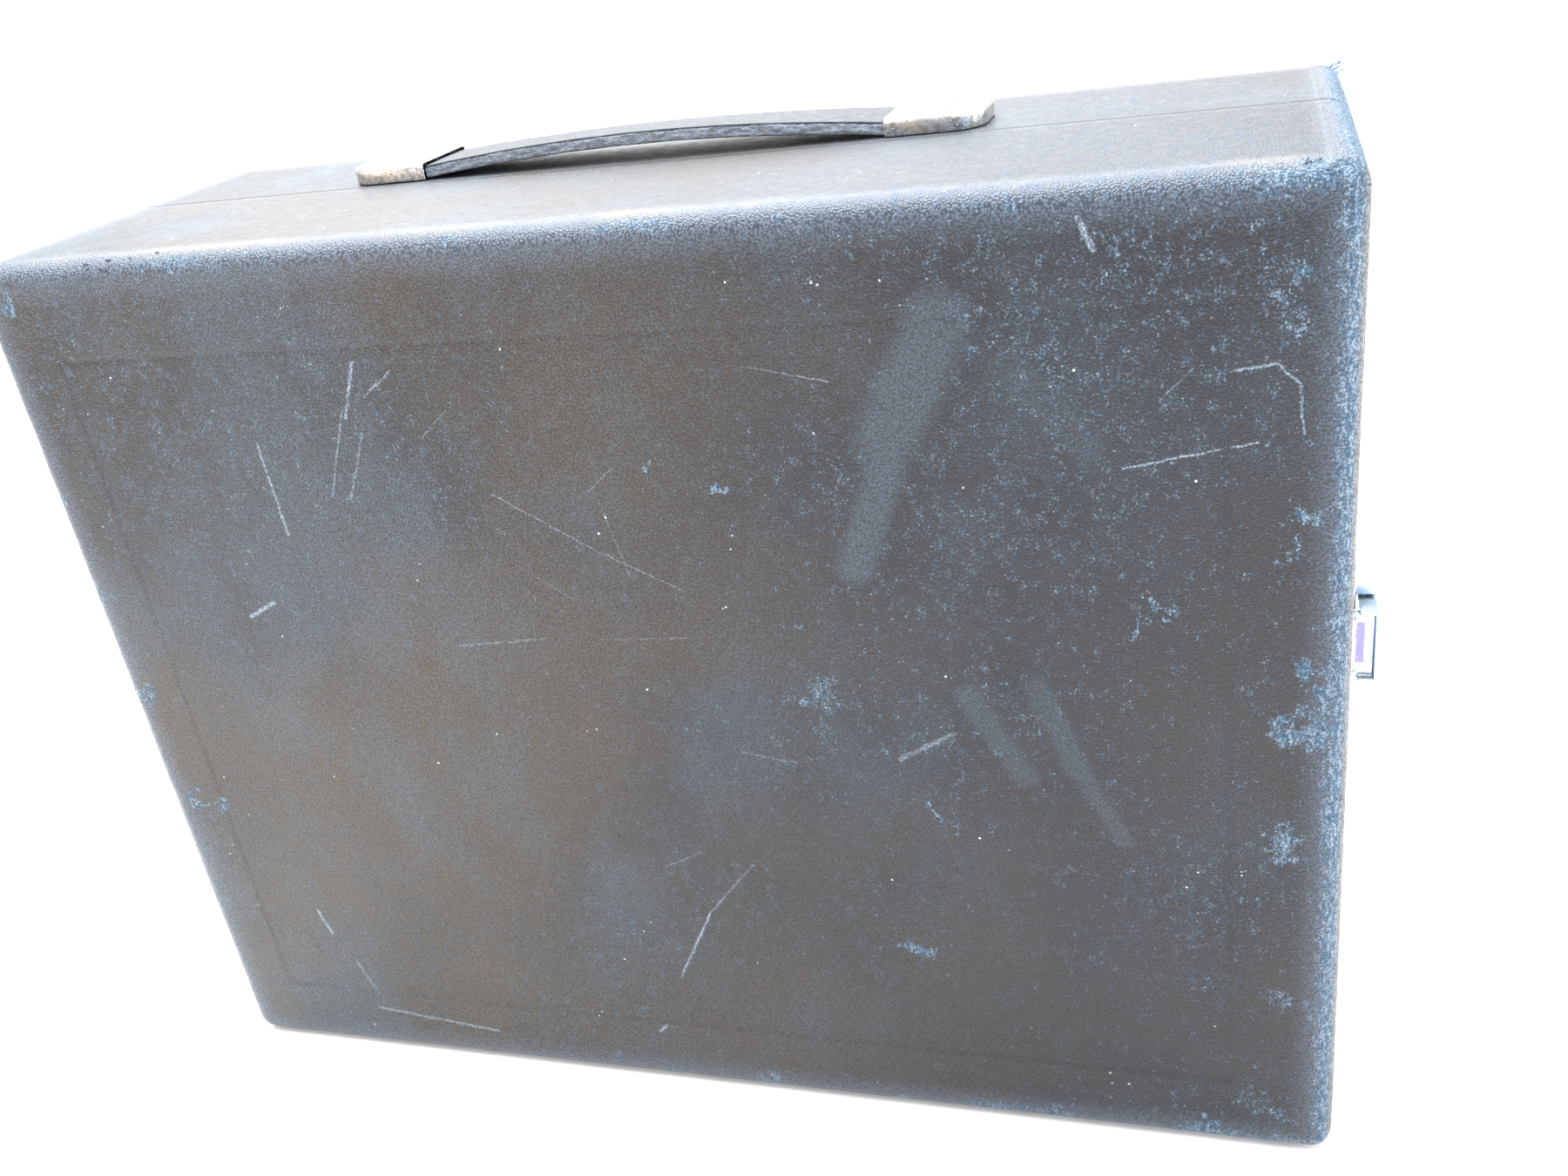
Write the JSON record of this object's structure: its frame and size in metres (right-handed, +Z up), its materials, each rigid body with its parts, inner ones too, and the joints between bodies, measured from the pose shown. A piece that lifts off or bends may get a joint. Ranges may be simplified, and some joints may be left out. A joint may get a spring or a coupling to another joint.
{
  "type": "attache case",
  "caption": "Small hard carrying case covered in black leathercloth: two hinged wooden trays, a flat strap handle on top and a sprung side lock with a hasp.",
  "frame": {"origin": "middle of the closed case's footprint, on the surface it stands on", "axes": "+Z up with the case standing on its bottom edge, +X towards the lock, +Y from the lid's face to the back of the body"},
  "size_m": [0.3983, 0.138, 0.3002],
  "materials": {
    "leathercloth": "black pebbled leathercloth, worn at the edges",
    "board": "bare sawn softwood board",
    "panel": "thin plywood sheet",
    "lining": "plain glued cloth lining",
    "lip": "bare hardwood strip",
    "plated": "dull worn nickel plate",
    "steel": "plain steel"
  },
  "bodies": {
    "body": {"body_board_top": "board", "body_board_bottom": "board", "body_board_left": "board", "body_board_right": "board", "back_panel": "panel", "body_edge_covering": "leathercloth", "body_face_covering": "leathercloth", "body_lining": "lining", "closing_lip": "lip", "handle_cap_left": "plated", "handle_cap_right": "plated", "handle_bolts": "plated", "handle_washers": "steel", "handle_nuts": "steel", "hinge_leaf_body_lower": "plated", "hinge_leaf_body_upper": "plated", "hinge_pin_lower": "steel", "hinge_pin_upper": "steel", "hinge_tacks_body": "plated", "lock_plate": "plated", "lock_housing": "plated", "lock_tacks": "plated", "slider_spring": "steel"},
    "lid": {"lid_board_top": "board", "lid_board_bottom": "board", "lid_board_left": "board", "lid_board_right": "board", "lid_panel_rails": "panel", "lid_panel_infill": "panel", "lid_edge_covering": "leathercloth", "lid_face_covering": "leathercloth", "lid_lining": "lining", "hinge_leaf_lid_lower": "plated", "hinge_leaf_lid_upper": "plated", "hinge_tacks_lid": "plated", "hasp_plate": "plated", "hasp_pin": "steel", "hasp_tacks": "plated"},
    "hasp": {"hasp": "plated"},
    "slider": {"lock_slider": "plated"},
    "strap": {"strap_grip": "leathercloth", "strap_band": "steel", "strap_tail_left": "leathercloth", "strap_tail_right": "leathercloth"},
    "strap_end_left": {"strap_end_left": "steel"},
    "strap_end_right": {"strap_end_right": "steel"}
  },
  "joints": [
    {"name": "lid_hinge", "type": "hinge", "parent": "body", "child": "lid", "pos_m": [-0.1929, 0.006, 0.146], "axis": [0, 0, -1], "range_deg": [0, 180]},
    {"name": "hasp_hinge", "type": "hinge", "parent": "lid", "child": "hasp", "pos_m": [0.1934, -0.0022, 0.135], "axis": [0, 0, -1], "range_deg": [0, 110]},
    {"name": "lock_slide", "type": "slide", "parent": "body", "child": "slider", "axis": [0, 0, 1], "range_m": [0, 0.006], "stiffness_N_per_m": 150, "springref_m": -0.004, "deforming": ["slider_spring"]},
    {"name": "handle_lift", "type": "slide", "parent": "body", "child": "strap", "axis": [0, 0, 1], "range_m": [0, 0.02], "deforming": ["strap_tail_left", "strap_tail_right"]},
    {"name": "strap_end_left_slide", "type": "slide", "parent": "body", "child": "strap_end_left", "axis": [1, 0, 0], "range_m": [0, 0.0024]},
    {"name": "strap_end_right_slide", "type": "slide", "parent": "body", "child": "strap_end_right", "axis": [-1, 0, 0], "range_m": [0, 0.0024]}
  ],
  "couplings": [
    {"joint": "strap_end_left_slide", "follows": "handle_lift", "ratio": 0.12},
    {"joint": "strap_end_right_slide", "follows": "handle_lift", "ratio": 0.12}
  ]
}
